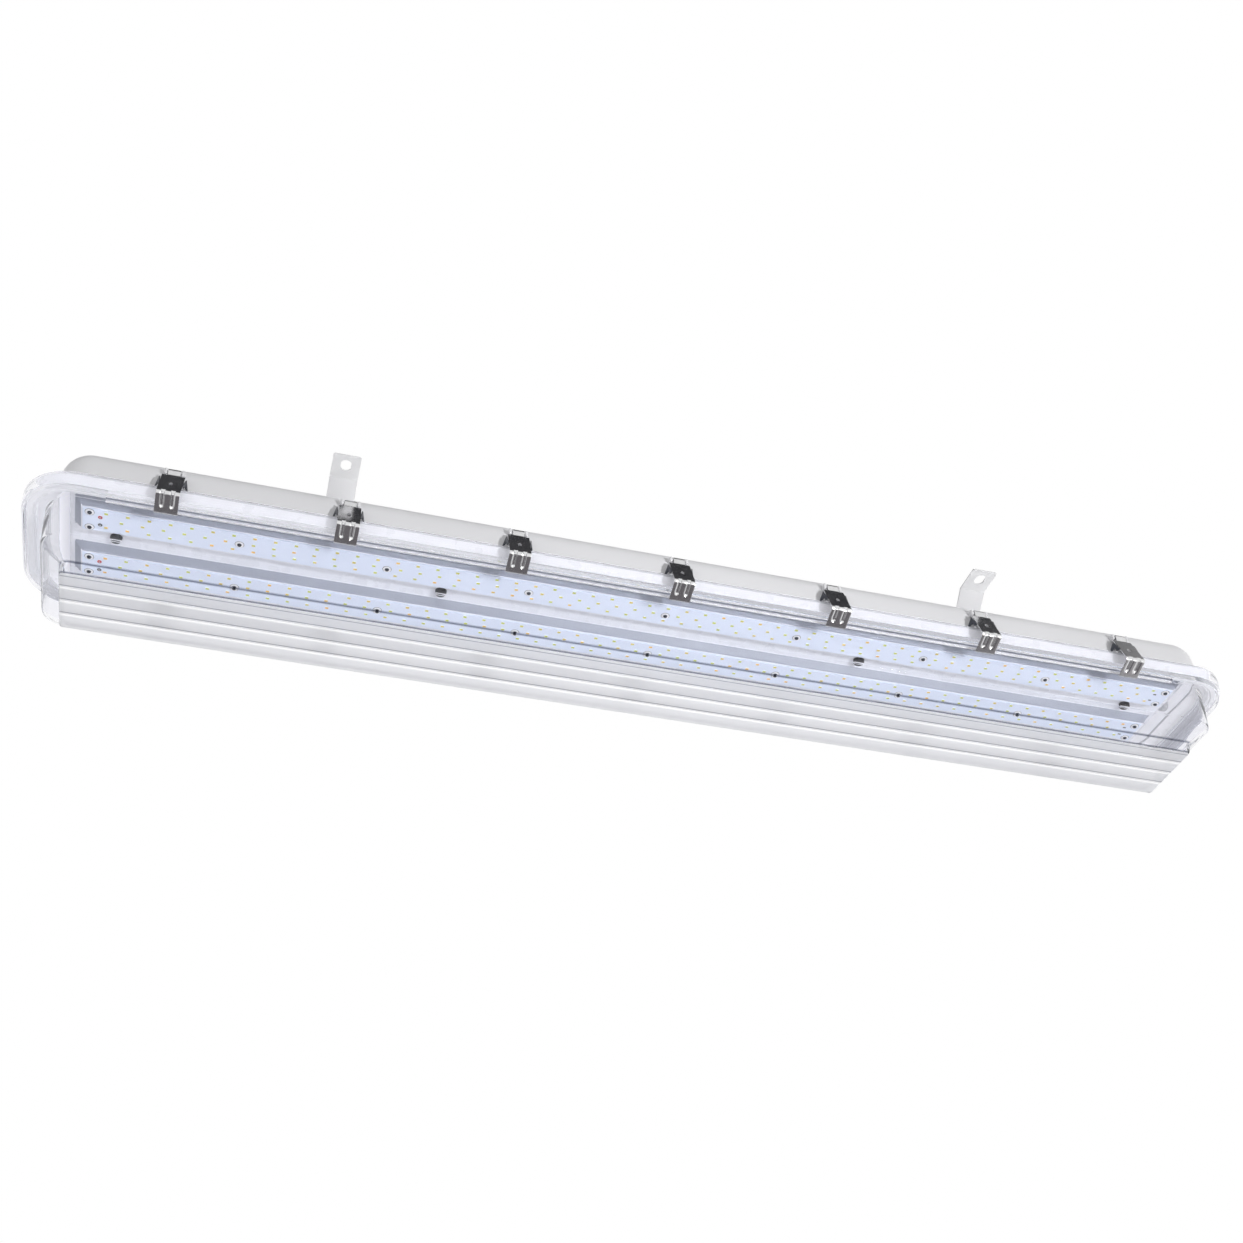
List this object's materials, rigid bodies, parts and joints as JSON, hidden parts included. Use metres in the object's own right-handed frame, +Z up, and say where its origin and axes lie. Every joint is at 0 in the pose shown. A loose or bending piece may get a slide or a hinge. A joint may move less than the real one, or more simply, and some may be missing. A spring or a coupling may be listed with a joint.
{
  "type": "vapor tight light fixture",
  "caption": "Long enclosed ceiling light with a moulded canopy, clear faceted ribbed lens, LED boards on a gear tray, hinged stainless latches and slotted hanging straps.",
  "frame": {"origin": "centre of the canopy's flat back", "axes": "+X along the fixture to the cable gland end, +Z up out of the canopy's back, -Y towards the near long side"},
  "size_m": [1.256, 0.2012, 0.1571],
  "materials": {
    "canopy": "fine moulded light grey",
    "rubber": "soft pale silicone",
    "lens": "clear moulded polycarbonate",
    "tray": "white gloss paint on sheet steel",
    "board": "white solder mask",
    "driver": "white painted case",
    "terminal": "ivory moulded",
    "red": "red insulation",
    "black": "black insulation",
    "dark": "dark moulded",
    "gland": "grey moulded",
    "zinc": "near white coated steel",
    "steel": "polished stainless"
  },
  "bodies": {
    "fixture": {"housing": "canopy", "gasket": "rubber", "lens": "lens", "gear_tray": "tray", "led_board_near": "board", "led_board_far": "board", "led_driver": "driver", "terminal_block": "terminal", "lead_near_red": "red", "lead_near_black": "black", "lead_far_red": "red", "lead_far_black": "black", "supply_lead_red": "red", "supply_lead_black": "black", "gland_body": "gland", "gland_nut": "gland", "strap_left": "zinc", "strap_right": "zinc", "strap_screw_left_near": "steel", "strap_screw_left_far": "steel", "strap_screw_right_near": "steel", "strap_screw_right_far": "steel"},
    "retainer_1_body": {"retainer_1": "dark"},
    "retainer_2_body": {"retainer_2": "dark"},
    "retainer_3_body": {"retainer_3": "dark"},
    "retainer_4_body": {"retainer_4": "dark"},
    "latch_near_1_body": {"latch_near_1": "steel"},
    "latch_near_2_body": {"latch_near_2": "steel"},
    "latch_near_3_body": {"latch_near_3": "steel"},
    "latch_near_4_body": {"latch_near_4": "steel"},
    "latch_near_5_body": {"latch_near_5": "steel"},
    "latch_near_6_body": {"latch_near_6": "steel"},
    "latch_near_7_body": {"latch_near_7": "steel"},
    "latch_far_1_body": {"latch_far_1": "steel"},
    "latch_far_2_body": {"latch_far_2": "steel"},
    "latch_far_3_body": {"latch_far_3": "steel"},
    "latch_far_4_body": {"latch_far_4": "steel"},
    "latch_far_5_body": {"latch_far_5": "steel"},
    "latch_far_6_body": {"latch_far_6": "steel"},
    "latch_far_7_body": {"latch_far_7": "steel"}
  },
  "joints": [
    {"name": "retainer_1_turn", "type": "hinge", "parent": "fixture", "child": "retainer_1_body", "pos_m": [-0.5437, 0, -0.0405], "axis": [0, 0, 1], "range_deg": [0, 90]},
    {"name": "retainer_2_turn", "type": "hinge", "parent": "fixture", "child": "retainer_2_body", "pos_m": [-0.2263, 0, -0.0405], "axis": [0, 0, 1], "range_deg": [0, 90]},
    {"name": "retainer_3_turn", "type": "hinge", "parent": "fixture", "child": "retainer_3_body", "pos_m": [0.2263, 0, -0.0405], "axis": [0, 0, 1], "range_deg": [0, 90]},
    {"name": "retainer_4_turn", "type": "hinge", "parent": "fixture", "child": "retainer_4_body", "pos_m": [0.5437, 0, -0.0405], "axis": [0, 0, 1], "range_deg": [0, 90]},
    {"name": "latch_near_1_hinge", "type": "hinge", "parent": "fixture", "child": "latch_near_1_body", "pos_m": [-0.4959, -0.0834, -0.0216], "axis": [-1, 0, 0], "range_deg": [0, 100]},
    {"name": "latch_near_2_hinge", "type": "hinge", "parent": "fixture", "child": "latch_near_2_body", "pos_m": [-0.3306, -0.0834, -0.0216], "axis": [-1, 0, 0], "range_deg": [0, 100]},
    {"name": "latch_near_3_hinge", "type": "hinge", "parent": "fixture", "child": "latch_near_3_body", "pos_m": [-0.1653, -0.0834, -0.0216], "axis": [-1, 0, 0], "range_deg": [0, 100]},
    {"name": "latch_near_4_hinge", "type": "hinge", "parent": "fixture", "child": "latch_near_4_body", "pos_m": [0, -0.0834, -0.0216], "axis": [-1, 0, 0], "range_deg": [0, 100]},
    {"name": "latch_near_5_hinge", "type": "hinge", "parent": "fixture", "child": "latch_near_5_body", "pos_m": [0.1653, -0.0834, -0.0216], "axis": [-1, 0, 0], "range_deg": [0, 100]},
    {"name": "latch_near_6_hinge", "type": "hinge", "parent": "fixture", "child": "latch_near_6_body", "pos_m": [0.3306, -0.0834, -0.0216], "axis": [-1, 0, 0], "range_deg": [0, 100]},
    {"name": "latch_near_7_hinge", "type": "hinge", "parent": "fixture", "child": "latch_near_7_body", "pos_m": [0.4959, -0.0834, -0.0216], "axis": [-1, 0, 0], "range_deg": [0, 100]},
    {"name": "latch_far_1_hinge", "type": "hinge", "parent": "fixture", "child": "latch_far_1_body", "pos_m": [-0.4959, 0.0834, -0.0216], "axis": [1, 0, 0], "range_deg": [0, 100]},
    {"name": "latch_far_2_hinge", "type": "hinge", "parent": "fixture", "child": "latch_far_2_body", "pos_m": [-0.3306, 0.0834, -0.0216], "axis": [1, 0, 0], "range_deg": [0, 100]},
    {"name": "latch_far_3_hinge", "type": "hinge", "parent": "fixture", "child": "latch_far_3_body", "pos_m": [-0.1653, 0.0834, -0.0216], "axis": [1, 0, 0], "range_deg": [0, 100]},
    {"name": "latch_far_4_hinge", "type": "hinge", "parent": "fixture", "child": "latch_far_4_body", "pos_m": [0, 0.0834, -0.0216], "axis": [1, 0, 0], "range_deg": [0, 100]},
    {"name": "latch_far_5_hinge", "type": "hinge", "parent": "fixture", "child": "latch_far_5_body", "pos_m": [0.1653, 0.0834, -0.0216], "axis": [1, 0, 0], "range_deg": [0, 100]},
    {"name": "latch_far_6_hinge", "type": "hinge", "parent": "fixture", "child": "latch_far_6_body", "pos_m": [0.3306, 0.0834, -0.0216], "axis": [1, 0, 0], "range_deg": [0, 100]},
    {"name": "latch_far_7_hinge", "type": "hinge", "parent": "fixture", "child": "latch_far_7_body", "pos_m": [0.4959, 0.0834, -0.0216], "axis": [1, 0, 0], "range_deg": [0, 100]}
  ]
}
